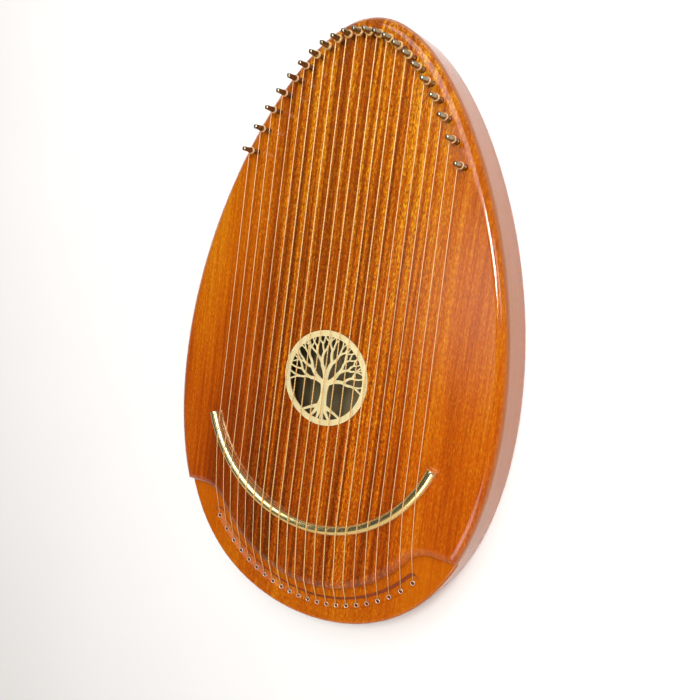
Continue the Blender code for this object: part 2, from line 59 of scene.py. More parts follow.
# Meshes of the wood: steps of a large round, strips beside a round that keep a flat and a wall flat in the
# light, how far a cutter reaches past the wood, how near two places are to be the same, and the sides of
# holes and other small rounds
ROUND_STEPS = 12
FLAT_GUARD = 0.0004
WALL_GUARD = 0.0006
BEYOND = 0.010
TOUCHING = 1e-6
HOLE_SIDES = 24
SMALL_SIDES = 20

# Faces: a level one's normal stands up at least this much, and the outer wall lies past this share of the
# outline, squared
LEVEL = 0.9
OUTER_WALL = 0.968

# Ledge and channel
ARC_CENTRE_Y = -0.121
LEDGE_RADIUS = 0.1292
LEDGE_FILLET = 0.030
SHOULDER_Y = -0.1838
SHOULDER_REACH = 0.25
CHANNEL_INNER = 0.1374
CHANNEL_OUTER = 0.1486
CHANNEL_BOTTOM = (0.1410, 0.1416)
CHANNEL_DEPTH = 0.0031
CHANNEL_SHORE = 0.0010
CHANNEL_HALF_ANGLE = 0.895
CHANNEL_LIP = 0.0004
CHANNEL_RIM = 0.0008
BLOCK_HOLLOW_RADIUS = 0.112

# Strings, holes and pins
STRING_COUNT = 22
HOLE_PITCH = 0.01068
HOLE_RADIUS_LINE = 0.1462
HOLE_RADIUS = 0.0019
BALL_POCKET_RADIUS = 0.0030
BALL_POCKET_DEPTH = 0.0080
BALL_RADIUS = 0.0019
BALL_LENGTH = 0.0036
BALL_BORE = 0.0006
BALL_EASE = 0.0003
BALL_GAP = 0.0003
BALL_WAIST = 0.82
BALL_WAIST_HALF = 0.0004
PIN_PITCH = 0.01027
PIN_ROW_SCALE = 0.150
PIN_ROW_TERMS = (0.2662, -0.2132, 0.0440, -0.0755)
PIN_RADIUS = 0.0025
PIN_BURIED = 0.0185
PIN_HEAD_START = 0.0150
PIN_EXPOSED = 0.0230
PIN_HEAD_HALF = 0.00205
PIN_TOP_HALF = 0.00185
PIN_HOLE_RADIUS = 0.0028
PIN_SIDES = 32
PIN_CROWN = ((0.0010, 1.0), (0.0006, 0.90), (0.00025, 0.66), (0.00006, 0.34), (0.0, 0.10))
PLAIN_RADIUS = 0.00034
BASS_RADIUS = 0.00055
BASS_STRINGS = range(6, 16)
ROUTE_SAMPLES = 400
FIRST_SAMPLE = 4
WINDING_TURNS = 2
TURN_STEPS = 20
WINDING_HEIGHT = 0.0095
WINDING_SLACK = 0.0001
WINDING_SPACE = 0.0006
EYELET_SEAT = LEDGE - 0.0017
EYELET_RADIUS = 0.0023
EYELET_BORE = 0.0017
EYELET_HEIGHT = 0.0006
EYELET_DEPTH = 0.0008
EYELET_WALL = 0.0002

# Bridge and rosette
BRIDGE_CENTRE = Vector((-0.0012, -0.0601, 0))
BRIDGE_RADIUS = 0.1289
BRIDGE_HALF_ANGLE = math.radians(70.3)
BRIDGE_WIDTH = 0.0100
BRIDGE_HEIGHT = 0.0070
BRIDGE_EASE = 0.0003
BRIDGE_END_EASE = 0.0004
BRIDGE_STEPS = 110
BRIDGE_FOOT = FACE + 0.0003
BRIDGE_TOP = BRIDGE_FOOT + BRIDGE_HEIGHT
ROSE_Y = -0.045
ROSE_RADIUS = 0.045
ROSE_RING_WIDTH = 0.0055
ROSE_TOP = FACE + 0.0004
ROSE_THICKNESS = 0.0012
ROSE_GAP = 0.0004
ROSE_BED = 0.0003
SOUND_HOLE_RADIUS = 0.0410
ROSE_STEPS = 160
KNOT_RADIUS = 0.0036
FORK_TURNS = (0.34, -0.40)
FORK_WIDTH = 0.66


def linear(hex_colour):
    """An sRGB hex colour as linear RGBA."""
    values = [int(hex_colour[place:place + 2], 16) / 255 for place in (1, 3, 5)]
    return [v / 12.92 if v <= 0.04045 else ((v + 0.055) / 1.055) ** 2.4 for v in values] + [1.0]


# Materials

def add(tree, kind, settings=None, inputs=None):
    """Adds a shader node. Each input is a plain value or an output socket to link."""
    node = tree.nodes.new("ShaderNode" + kind)
    for name, value in (settings or {}).items():
        if name != "stops":
            setattr(node, name, value)
            continue
        for stop, colour in value[1:-1]:
            node.color_ramp.elements.new(stop)
        for element, (stop, colour) in zip(node.color_ramp.elements, value):
            element.position = stop
            element.color = linear(colour)
    for name, value in (inputs or {}).items():
        if isinstance(value, bpy.types.NodeSocket):
            tree.links.new(value, node.inputs[name])
        else:
            node.inputs[name].default_value = value
    return node


def new_material(name, **shader_values):
    """A Principled material and its node tree, with the shader's own values set."""
    material = bpy.data.materials.new(name)
    material.use_nodes = True
    shader = material.node_tree.nodes["Principled BSDF"]
    for socket, value in shader_values.items():
        shader.inputs[socket.replace("_", " ")].default_value = value
    return material, material.node_tree, shader


def grain(tree, coordinates, across, along, depth, detail=2.0, shift=0.0):
    """Noise stretched along the grain. The sizes are the real ones of a streak, in millimetres."""
    scale = (1000 / across, 1000 / along, 1000 / depth)
    placed = add(tree, "Mapping", inputs={"Vector": coordinates, "Scale": scale, "Location": (shift,) * 3})
    noise = add(tree, "TexNoise", inputs={"Vector": placed.outputs[0], "Scale": 1.0, "Detail": detail})
    return noise.outputs[0]


def board_tones_and_painted_light(tree, place, across, along, tone):
    """Tone of a glued-up board, in metres from its middle and steps of tone.

    The plank left of the middle is darker than the rest, and the board gets lighter towards the right and
    darker towards the tail. On top of that it is painted darker low on the left as painted shade and lighter
    at the upper left as painted light.
    """
    # corner is the distance towards the upper right and upper the distance towards the upper left: the board
    # is painted darker low on the left as painted shade and lighter at the upper left as painted light
    corner, upper = (
        add(tree, "VectorMath", {"operation": "DOT_PRODUCT"}, {0: place, 1: way}).outputs["Value"]
        for way in ((0.8, 0.6, 0), (-0.7, 0.7, 0)))
    for value, start, end, low, high in (
            (across, -0.135, -0.115, 0.025, -0.050), (across, -0.024, -0.016, 0.0, 0.042),
            (across, 0.03, 0.10, 0.0, 0.045), (corner, -0.18, -0.09, -0.050, 0.0),
            (along, -0.14, -0.04, -0.022, 0.0), (upper, 0.06, 0.14, 0.0, 0.05)):
        step = add(tree, "MapRange", {"interpolation_type": "SMOOTHSTEP"},
                   {0: value, 1: start, 2: end, 3: low, 4: high}).outputs[0]
        tone = add(tree, "Math", inputs={0: step, 1: tone}).outputs[0]
    return tone


def mahogany(name, ribbons, figure=1.0, coordinate="Object", shade=0.0, planks_and_light=False, lacquer=1.0,
             gold=(1.0, 1.0)):
    """Quartered ribbon mahogany, stained warm and dipped in gloss lacquer.

    The eye sees stripes 4 to 8 mm wide that run from golden to red-brown, bright flecks on the golden
    ones and short dark pores, all under a wet shine. Flecks and pores are drawn 1 mm wide or more, or they
    wouldn't show. Ribbons and figure say how strong the stripes and the rest of the pattern are, and both
    fade beside the middle. Gold is the colour's share of green at the tail and at the head. On a board with
    planks and light, plank tones are added, with painted shade low on the left and painted light at the upper
    left.
    """
    material, tree, shader = new_material(name, Roughness=0.55, Specular_IOR_Level=0.02,
                                          Coat_Weight=lacquer, Coat_Roughness=0.12, Coat_IOR=1.5)
    place = add(tree, "TexCoord").outputs[coordinate]
    wander = grain(tree, place, 60, 260, 60, 1.0, 3.0)
    pushed = add(tree, "VectorMath", {"operation": "MULTIPLY_ADD"},
                 {0: wander, 1: (0.010, 0.0, 0.004), 2: place}).outputs[0]
    stripe = grain(tree, pushed, 5.0, 900, 30, 2.5)
    plank = grain(tree, pushed, 42, 700, 60, 1.0, 5.0)
    streak = grain(tree, pushed, 1.5, 70, 5, 3.0, 7.0)
    across, along = add(tree, "SeparateXYZ", inputs={0: place}).outputs[:2]
    away = add(tree, "Math", {"operation": "ABSOLUTE"}, {0: across}).outputs[0]
    share = add(tree, "MapRange", {"interpolation_type": "SMOOTHSTEP"},
                {0: away, 1: 0.055, 2: 0.110, 3: ribbons, 4: ribbons * 0.22}).outputs[0]
    tone = add(tree, "Math", {"operation": "MULTIPLY_ADD"},
               {0: share, 1: -0.055, 2: 0.50 + shade}).outputs[0]
    # Plank tones, with painted shade low on the left and painted light at the upper left
    if planks_and_light:
        tone = board_tones_and_painted_light(tree, place, across, along, tone)
    for noise, weight in ((stripe, share), (plank, 0.30 * figure), (streak, 0.32 * figure)):
        swing = add(tree, "Math", {"operation": "SUBTRACT"}, {0: noise, 1: 0.5}).outputs[0]
        tone = add(tree, "Math", {"operation": "MULTIPLY_ADD"}, {0: swing, 1: weight, 2: tone}).outputs[0]
    stained = add(tree, "ValToRGB", {"stops": (
        (0.22, "#602200"), (0.36, "#883200"), (0.50, "#B04B00"), (0.60, "#BE5F02"), (0.76, "#D48420"))},
        {0: tone}).outputs[0]
    fleck = grain(tree, pushed, 1.4, 4.0, 1.5, 1.0, 17.0)
    fleck = add(tree, "MapRange", inputs={0: fleck, 1: 0.50, 2: 0.62, 3: 0.0, 4: 0.60 * figure}).outputs[0]
    golden = add(tree, "MapRange", inputs={0: tone, 1: 0.42, 2: 0.60, 3: 0.2, 4: 1.0}).outputs[0]
    lively = add(tree, "MapRange", inputs={0: away, 1: 0.06, 2: 0.12, 3: 1.1, 4: 0.4}).outputs[0]
    flecked = add(tree, "Math", {"operation": "MULTIPLY"}, {0: fleck, 1: golden}).outputs[0]
    flecked = add(tree, "Math", {"operation": "MULTIPLY"}, {0: flecked, 1: lively}).outputs[0]
    lit = add(tree, "Mix", {"data_type": "RGBA"}, {0: flecked, 6: stained, 7: linear("#E89A1C")}).outputs[2]
    pore = grain(tree, pushed, 1.0, 3.2, 1.2, 1.0, 11.0)
    pits = add(tree, "MapRange", inputs={0: pore, 1: 0.52, 2: 0.64, 3: 0.0, 4: 0.60 * figure}).outputs[0]
    pits = add(tree, "Math", {"operation": "MULTIPLY"}, {0: pits, 1: lively}).outputs[0]
    finished = add(tree, "Mix", {"data_type": "RGBA"}, {0: pits, 6: lit, 7: linear("#5A2300")}).outputs[2]
    warmer = add(tree, "MapRange", inputs={0: along, 1: -0.10, 2: 0.12, 3: gold[0], 4: gold[1]}).outputs[0]
    tint = add(tree, "CombineXYZ", inputs={0: 1.0, 1: warmer, 2: 1.0}).outputs[0]
    finished = add(tree, "VectorMath", {"operation": "MULTIPLY"}, {0: finished, 1: tint}).outputs[0]
    tree.links.new(finished, shader.inputs["Base Color"])
    peel = add(tree, "TexNoise", inputs={"Vector": place, "Scale": 1000 / 9.0, "Detail": 1.0}).outputs[0]
    bump = add(tree, "Bump", inputs={"Height": peel, "Strength": 0.10, "Distance": 0.0002}).outputs[0]
    tree.links.new(bump, shader.inputs["Coat Normal"])
    return material


def bare_wood(name, early, late, across, roughness=0.62):
    """Planed and unfinished wood, with its growth rings as soft lines."""
    material, tree, shader = new_material(name, Roughness=roughness)
    place = add(tree, "TexCoord").outputs["Object"]
    rings = grain(tree, place, across, 220, across * 3, 3.0)
    tone = add(tree, "MapRange", inputs={0: rings, 1: 0.35, 2: 0.65}).outputs[0]
    colour = add(tree, "Mix", {"data_type": "RGBA"}, {0: tone, 6: linear(late), 7: linear(early)}).outputs[2]
    tree.links.new(colour, shader.inputs["Base Color"])
    return material


def metal(name, colour, tarnish, roughness, streaks, spread, metallic=1.0):
    """A plated or polished metal with fine tarnish; streaks are its polishing marks, in millimetres."""
    material, tree, shader = new_material(name, Metallic=metallic)
    place = add(tree, "TexCoord").outputs["Object"]
    cloud = add(tree, "TexNoise", inputs={"Vector": place, "Scale": 1000 / spread, "Detail": 3.0}).outputs[0]
    aged = add(tree, "MapRange", inputs={0: cloud, 1: 0.45, 2: 0.75, 3: 0.0, 4: 0.6}).outputs[0]
    tint = add(tree, "Mix", {"data_type": "RGBA"},
               {0: aged, 6: linear(colour), 7: linear(tarnish)}).outputs[2]
    tree.links.new(tint, shader.inputs["Base Color"])
    marks = grain(tree, place, *streaks)
    rough = add(tree, "MapRange", inputs={
        0: marks, 1: 0.3, 2: 0.7, 3: roughness * 0.85, 4: roughness * 1.15}).outputs[0]
    tree.links.new(rough, shader.inputs["Roughness"])
    return material


def wound_wire(name, colour, valley):
    """Bronze wire wound on a steel core: a warm dull line with faint ridges across it.

    Real ridges are under 1 mm apart. They are drawn 3.1 mm apart, which is pi, or they wouldn't show. The
    wave repeats every tau / 20 of its own unit.
    """
    material, tree, shader = new_material(name, Metallic=0.4, Roughness=0.48)
    place = add(tree, "TexCoord").outputs["Object"]
    scale = 1000 / math.pi * math.tau / 20
    ridge = add(tree, "TexWave", {"bands_direction": "Y"}, {"Vector": place, "Scale": scale}).outputs[1]
    tint = add(tree, "Mix", {"data_type": "RGBA"},
               {0: ridge, 6: linear(valley), 7: linear(colour)}).outputs[2]
    tree.links.new(tint, shader.inputs["Base Color"])
    return material


# Lacquered wood: quarter-sawn ribbons on the soundboard, quieter boards on the back, and hardly a stripe on
# the tail block. The sides' grain runs round the bend under a thinner lacquer.
# The soundboard is painted darker low on the left as painted shade and lighter at the upper left as painted
# light.
TOP_WOOD = mahogany("ribbon_mahogany_gloss_lacquer", 1.0, planks_and_light=True, gold=(1.0, 1.24))
BACK_WOOD = mahogany("quiet_mahogany_gloss_lacquer", 0.5, 0.8)
BLOCK_WOOD = mahogany("plain_mahogany_gloss_lacquer", 0.25, 0.5, shade=0.05, gold=(1.08, 1.08))
SIDE_WOOD = mahogany("bent_mahogany_gloss_lacquer", 0.2, 0.35, "UV", -0.05, lacquer=0.85,
                     gold=(1.5, 1.5))

# Bare wood: a routed slope in the channel, dull and painted dark as the shade in the channel, a pale pin
# block, braces with fine yellow rings, and the back's unfinished inside, matt and painted grey-brown as the
# shade inside the body
CHANNEL_SHADE_WOOD = bare_wood("routed_mahogany_painted_shade", "#944000", "#722A00", 2.0, 0.8)
MAPLE = bare_wood("planed_maple", "#D8B88A", "#C39C6A", 2.5)
SPRUCE = bare_wood("planed_spruce", "#E6CDA0", "#C79B60", 1.2)
BACK_LINING_SHADE = bare_wood("birch_lining_painted_shade", "#7C6E4A", "#584C30", 6.0)

# Metals: buffed brass with a soft mirror, brushed brass sheet that is pale and satin, nickel plate on the
# pins, dark and warm partly with age and partly as a painted reflection of the wood, small bright eyelets
# whose bores are painted black as the shade down the holes, and wire as a thin warm line, its warmth a
# painted reflection of the wood
BRASS = metal("polished_brass", "#F8E8A8", "#E0C878", 0.24, (1.5, 12, 1.5), 14)
SHEET_BRASS = metal("satin_brass_sheet", "#FFF0B8", "#F0DA98", 0.50, (0.5, 30, 0.5), 9, 0.55)
NICKEL = metal("nickel_plated_steel", "#93866E", "#4C4032", 0.24, (0.3, 6, 0.3), 3)
EYELET_PLATE = metal("bright_nickel_eyelet", "#F4EEE4", "#D8CEC0", 0.30, (0.3, 3, 0.3), 3, 0.5)
EYELET_BORE_SHADE = metal("eyelet_bore_painted_shade", "#17120E", "#0E0B09", 0.6, (0.3, 3, 0.3), 3, 0.3)
STEEL_WIRE = metal("tinned_steel_wire", "#F0C490", "#E0A974", 0.48, (0.2, 40, 0.2), 20, 0.35)
BRONZE_WIRE = wound_wire("bronze_wound_wire", "#F0C888", "#E0AE68")


# Plan outlines

def swell(rise):
    """Half width that the body would have as an ellipse, for a share of its half length."""
    return sum(term * rise ** power for power, term in enumerate(HALF_WIDTH_TERMS))


def egg_point(turn, inset=0.0):
    """A point of the body's outline. A turn of 0 is the widest side at +X, a quarter turn the top."""
    rise = math.sin(turn)
    point = Vector((math.cos(turn) * swell(rise), HALF_LENGTH * rise))
    if inset:
        step = 0.001
        along = (egg_point(turn + step) - egg_point(turn - step)).normalized()
        point += Vector((-along.y, along.x)) * inset
    return point


def egg(inset=0.0):
    return [egg_point(math.tau * step / OUTLINE_STEPS, inset) for step in range(OUTLINE_STEPS)]


def arc(centre, radius, start, end, steps):
    angles = [start + (end - start) * step / steps for step in range(steps + 1)]
    return [Vector(centre) + radius * Vector((math.cos(a), math.sin(a))) for a in angles]


def fillet_centre():
    """Centre of the fillet between the ledge's arc and its straight shoulder, at +X."""
    y = SHOULDER_Y - LEDGE_FILLET
    return Vector((math.sqrt((LEDGE_RADIUS + LEDGE_FILLET) ** 2 - (y - ARC_CENTRE_Y) ** 2), y))


def board_reach():
    """The soundboard's lower edge with its shoulders drawn out past the body, closed high above."""
    right = fillet_centre()
    left = Vector((-right.x, right.y))
    lean = math.atan2(ARC_CENTRE_Y - right.y, right.x)
    points = [Vector((SHOULDER_REACH, HALF_LENGTH * 1.2)), Vector((-SHOULDER_REACH, HALF_LENGTH * 1.2))]
    points.append(Vector((-SHOULDER_REACH, SHOULDER_Y)))
    points += arc(left, LEDGE_FILLET, math.pi / 2, lean, 16)
    points += arc((0, ARC_CENTRE_Y), LEDGE_RADIUS, math.pi + lean, math.tau - lean, 90)[1:-1]
    points += arc(right, LEDGE_FILLET, math.pi - lean, math.pi / 2, 16)
    points.append(Vector((SHOULDER_REACH, SHOULDER_Y)))
    return points


def channel_outline(inner, outer):
    """A curved slot with round ends between two radii, as long as the row of string holes needs."""
    centre = Vector((0, ARC_CENTRE_Y))
    down = -math.pi / 2
    middle = (inner + outer) / 2
    points = []
    for side, radius in ((1, outer), (-1, inner)):
        tip = down + side * CHANNEL_HALF_ANGLE
        tip_centre = centre + middle * heading(tip)
        points += arc(centre, radius, down - side * CHANNEL_HALF_ANGLE, tip, 80)
        start = tip if side == 1 else tip + math.pi
        points += arc(tip_centre, (outer - inner) / 2, start, start + math.pi, 16)[1:-1]
    return points


def heading(angle):
    return Vector((math.cos(angle), math.sin(angle)))


def string_offset(index):
    return index - (STRING_COUNT - 1) / 2


def hole_place(index):
    x = string_offset(index) * HOLE_PITCH
    return Vector((x, ARC_CENTRE_Y - math.sqrt(HOLE_RADIUS_LINE ** 2 - x ** 2), 0))


def pin_place(index):
    x = string_offset(index) * PIN_PITCH
    across = (x / PIN_ROW_SCALE) ** 2
    return Vector((x, sum(term * across ** power for power, term in enumerate(PIN_ROW_TERMS)), 0))


HOLES = [hole_place(index) for index in range(STRING_COUNT)]
PINS = [pin_place(index) for index in range(STRING_COUNT)]


# Solids in bmesh

def slab(outline, bottom, top):
    """A flat solid between two heights."""
    shape = bmesh.new()
    face = shape.faces.new([shape.verts.new((point.x, point.y, bottom)) for point in outline])
    lifted = bmesh.ops.extrude_face_region(shape, geom=[face])["geom"]
    moved = [item for item in lifted if isinstance(item, bmesh.types.BMVert)]
    bmesh.ops.translate(shape, verts=moved, vec=(0, 0, top - bottom))
    bmesh.ops.recalc_face_normals(shape, faces=shape.faces)
    return shape


def round_rim(shape, height, radius, steps, below_y=1.0):
    """Rounds the rim at a height and keeps the flats beside it flat in the light."""
    rim = [edge for edge in shape.edges
           if all(abs(vert.co.z - height) < TOUCHING and vert.co.y < below_y for vert in edge.verts)]
    bmesh.ops.bevel(shape, geom=rim, offset=radius, offset_type="OFFSET", segments=steps,
                    profile=0.5, affect="EDGES", clamp_overlap=False, material=-1)
    flat = [face for face in shape.faces
            if all(abs(vert.co.z - height) < TOUCHING for vert in face.verts) and len(face.verts) > 4]
    bmesh.ops.inset_region(shape, faces=flat, thickness=FLAT_GUARD)
    inner = height - math.copysign(radius + WALL_GUARD, height - LEDGE / 2)
    everything = shape.verts[:] + shape.edges[:] + shape.faces[:]
    bmesh.ops.bisect_plane(shape, geom=everything, plane_co=(0, 0, inner), plane_no=(0, 0, 1))
    return shape


def cut_away(shape, point, normal):
    """Removes what lies on the normal's side of a plane and closes the cut."""
    everything = shape.verts[:] + shape.edges[:] + shape.faces[:]
    cut = bmesh.ops.bisect_plane(shape, geom=everything, dist=1e-7, plane_co=point,
                                 plane_no=normal, clear_outer=True)["geom_cut"]
    edges = [item for item in cut if isinstance(item, bmesh.types.BMEdge)]
    bmesh.ops.edgeloop_fill(shape, edges=edges)
    bmesh.ops.recalc_face_normals(shape, faces=shape.faces)
    return shape


def loft(rings):
    """A solid through closed rings of places, each with as many as the next."""
    shape = bmesh.new()
    lower = None
    for places in rings:
        ring = [shape.verts.new(place) for place in places]
        edges = [shape.edges.new((a, b)) for a, b in zip(ring, ring[1:] + ring[:1])]
        if lower:
            bmesh.ops.bridge_loops(shape, edges=lower + edges)
        lower = edges
    bmesh.ops.holes_fill(shape, edges=[edge for edge in shape.edges if edge.is_boundary])
    bmesh.ops.recalc_face_normals(shape, faces=shape.faces)
    return shape


def rod(radius, bottom, top, sides, at=(0, 0)):
    shape = bmesh.new()
    bmesh.ops.create_cone(shape, cap_ends=True, segments=sides, radius1=radius, radius2=radius,
                          depth=top - bottom)
    bmesh.ops.translate(shape, verts=shape.verts, vec=(at[0], at[1], (top + bottom) / 2))
    return shape


def repeated(shape, places):
    """One shape with a copy at each place."""
    pattern = bpy.data.meshes.new("pattern")
    shape.to_mesh(pattern)
    shape.free()
    group = bmesh.new()
    for place in places:
        known = len(group.verts)
        group.from_mesh(pattern)
        group.verts.ensure_lookup_table()
        bmesh.ops.translate(group, verts=group.verts[known:], vec=place)
    bpy.data.meshes.remove(pattern)
    return group


def combined(shape, operation, tool):
    """Joins, cuts or crosses two closed shapes."""
    pair = []
    for part in (shape, tool):
        mesh = bpy.data.meshes.new("part")
        part.to_mesh(mesh)
        part.free()
        pair.append(bpy.data.objects.new("part", mesh))
        bpy.context.scene.collection.objects.link(pair[-1])
    modifier = pair[0].modifiers.new("combine", "BOOLEAN")
    modifier.operation = operation
    modifier.object = pair[1]
    modifier.solver = "EXACT"
    depsgraph = bpy.context.evaluated_depsgraph_get()
    made = bpy.data.meshes.new_from_object(pair[0].evaluated_get(depsgraph))
    result = bmesh.new()
    result.from_mesh(made)
    for old in pair:
        bpy.data.meshes.remove(old.data)
    bpy.data.meshes.remove(made)
    return result


def bored(shape, *tools):
    """Cuts one tool after the other out of a shape."""
    for tool in tools:
        shape = combined(shape, "DIFFERENCE", tool)
    return shape


def spun(profile, steps, centre=(0, 0, 0)):
    """A turned shape about a vertical axis, from a closed profile of (radius, height)."""
    shape = bmesh.new()
    ring = [shape.verts.new((centre[0] + r, centre[1], centre[2] + z)) for r, z in profile]
    edges = [shape.edges.new((a, b)) for a, b in zip(ring, ring[1:] + ring[:1])]
    bmesh.ops.spin(shape, geom=ring + edges, cent=centre, axis=(0, 0, 1), angle=math.tau,
                   steps=steps, use_merge=True)
    bmesh.ops.recalc_face_normals(shape, faces=shape.faces)
    return shape


def add_piece(name, shape, material, nodes=(), body="harp", smooth_angle=35):
    """Makes a piece of the harp, shades it smooth and lets it ride on its body."""
    mesh = bpy.data.meshes.new(name)
    shape.to_mesh(mesh)
    shape.free()
    mesh.materials.append(material)
    mesh.shade_smooth()
    mesh.set_sharp_from_angle(angle=math.radians(smooth_angle))
    piece = bpy.data.objects.new(name, mesh)
    bpy.context.scene.collection.objects.link(piece)
    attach(piece, body)
    if nodes:
        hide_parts(*nodes)
    return piece


# Body pieces

def rounded_body(bottom):
    return round_rim(slab(egg(), bottom, FACE), FACE, FRONT_ROUND, ROUND_STEPS)


def board_block(bottom):
    """The body above the ledge's cut: rounded at the outline and along the lower edge."""
    reach = slab(board_reach(), bottom - BEYOND, FACE)
    edge = [e for e in reach.edges
            if all(abs(v.co.z - FACE) < TOUCHING and v.co.y < SHOULDER_Y + TOUCHING for v in e.verts)]
    bmesh.ops.bevel(reach, geom=edge, offset=FRONT_ROUND, offset_type="OFFSET", segments=ROUND_STEPS,
                    profile=0.5, affect="EDGES", clamp_overlap=False, material=-1)
    return combined(rounded_body(bottom), "INTERSECT", reach)


def make_soundboard():
    """The soundboard with its sound hole, the rosette's recess and the pins' holes."""
    board = cut_away(board_block(LEDGE), (0, 0, BOARD_UNDERSIDE), (0, 0, -1))
    hole = rod(SOUND_HOLE_RADIUS, BOARD_UNDERSIDE - BEYOND, FACE + BEYOND, ROSE_STEPS, (0, ROSE_Y))
    bed = ROSE_TOP - ROSE_THICKNESS - ROSE_BED
    recess = rod(ROSE_RADIUS + ROSE_GAP, bed, FACE + BEYOND, ROSE_STEPS, (0, ROSE_Y))
    pin_hole = rod(PIN_HOLE_RADIUS, BOARD_UNDERSIDE - BEYOND, FACE + BEYOND, HOLE_SIDES)
    board = bored(board, hole, recess, repeated(pin_hole, PINS))
    add_piece("soundboard_top", board, TOP_WOOD, ["soundboard"])


def bend_lengths():
    """Length along the outline from the tail, for each step anticlockwise from there."""
    points = egg()
    tail = OUTLINE_STEPS * 3 // 4
    lengths = [0.0]
    for step in range(OUTLINE_STEPS):
        a = points[(tail + step) % OUTLINE_STEPS]
        b = points[(tail + step + 1) % OUTLINE_STEPS]
        lengths.append(lengths[-1] + (b - a).length)
    return lengths


def map_bend(shape):
    """A UV map for wood bent round the body: height across the grain, length from the tail along it.

    The shift moves the wood past the middle band of the pattern, where the ribbons are strong.
    """
    shift = 0.3
    lengths = bend_lengths()
    layer = shape.loops.layers.uv.new("bend")
    for face in shape.faces:
        on_right = face.calc_center_median().x > 0
        for loop in face.loops:
            place = loop.vert.co
            turn = math.asin(max(-1, min(1, place.y / HALF_LENGTH)))
            turn = turn if on_right else math.pi - turn
            step = round((turn + math.pi / 2) / math.tau * OUTLINE_STEPS)
            loop[layer].uv = (place.z + shift, lengths[step])


def make_sides():
    """Two bent sides that meet at the head and end at the tail block."""
    for side, sign in (("left", -1), ("right", 1)):
        shape = cut_away(rounded_body(BACK_TOP), (0, 0, BOARD_UNDERSIDE), (0, 0, 1))
        cut_away(shape, (0, BLOCK_Y, 0), (0, -1, 0))
        cut_away(shape, (0, 0, 0), (-sign, 0, 0))
        shape = bored(shape, slab(egg(SIDE_THICKNESS), -BEYOND, FACE + BEYOND))
        map_bend(shape)
        add_piece(f"bent_side_{side}", shape, SIDE_WOOD, [f"side_{side}"])


def channel_cutter():
    """The channel's hollow: a floor that rises outwards from the foot of a steep inner wall."""
    share = CHANNEL_SHORE / CHANNEL_DEPTH
    shore = channel_outline(CHANNEL_INNER + (CHANNEL_BOTTOM[0] - CHANNEL_INNER) * share, CHANNEL_OUTER)
    lip = channel_outline(CHANNEL_INNER, CHANNEL_OUTER + CHANNEL_LIP)
    levels = ((channel_outline(*CHANNEL_BOTTOM), LEDGE - CHANNEL_DEPTH), (shore, LEDGE - CHANNEL_SHORE),
              (lip, LEDGE), (lip, FACE + BEYOND))
    return loft([(point.x, point.y, height) for point in outline] for outline, height in levels)


def finish_block(piece):
    """Bent wood on the block's outer wall, and dark, dull wood on the channel's slopes as painted shade."""
    piece.data.materials.append(CHANNEL_SHADE_WOOD)
    piece.data.materials.append(SIDE_WOOD)
    for face in piece.data.polygons:
        spot = face.center
        rise = spot.y / HALF_LENGTH
        if abs(face.normal.z) < LEVEL and (spot.x / swell(rise)) ** 2 + rise ** 2 > OUTER_WALL:
            face.material_index = 2
        # The channel's slopes get the dark wood, as painted shade in the channel
        radius = math.hypot(spot.x, spot.y - ARC_CENTRE_Y)
        if (LEDGE - CHANNEL_DEPTH < spot.z < LEDGE and 0.1 < face.normal.z < LEVEL
                and CHANNEL_INNER < radius < CHANNEL_OUTER - CHANNEL_RIM):
            face.material_index = 1


def make_tail_block():
    """The block at the tail: a rounded ledge with the channel, the string holes and the balls' pockets."""
    upper = cut_away(board_block(LEDGE - LEDGE_ROUND), (0, 0, BOARD_UNDERSIDE), (0, 0, 1))
    cut_away(upper, (0, BLOCK_Y, 0), (0, 1, 0))
    lower = round_rim(slab(egg(), BACK_TOP, LEDGE), LEDGE, LEDGE_ROUND, 6)
    cut_away(lower, (0, BLOCK_Y, 0), (0, 1, 0))
    block = combined(lower, "UNION", upper)
    hollow = rod(BLOCK_HOLLOW_RADIUS, -BEYOND, FACE + BEYOND, ROSE_STEPS, (0, ARC_CENTRE_Y))
    string_holes = repeated(rod(HOLE_RADIUS, 0, FACE, SMALL_SIDES), HOLES)
    pockets = repeated(rod(BALL_POCKET_RADIUS, -BEYOND, BALL_POCKET_DEPTH, HOLE_SIDES), HOLES)
    block = bored(block, hollow, channel_cutter(), string_holes, pockets)
    map_bend(block)
    finish_block(add_piece("ledge_block", block, BLOCK_WOOD, ["tail_block"]))


def make_back():
    """The back board, lacquered outside and bare inside, with a hole for each ball end. Its inside is painted
    dark grey-brown as the shade inside the body.
    """
    board = round_rim(slab(egg(), 0, BACK_TOP), 0, BACK_ROUND, 8)
    board = bored(board, repeated(rod(BALL_POCKET_RADIUS, -BEYOND, BEYOND, HOLE_SIDES), HOLES))
    piece = add_piece("back_panel", board, BACK_WOOD, ["back_board"])
    piece.data.materials.append(BACK_LINING_SHADE)
    # Faces that look into the body get the wood painted dark as its shade
    for face in piece.data.polygons:
        if face.normal.z > LEVEL:
            face.material_index = 1


# Brass pieces

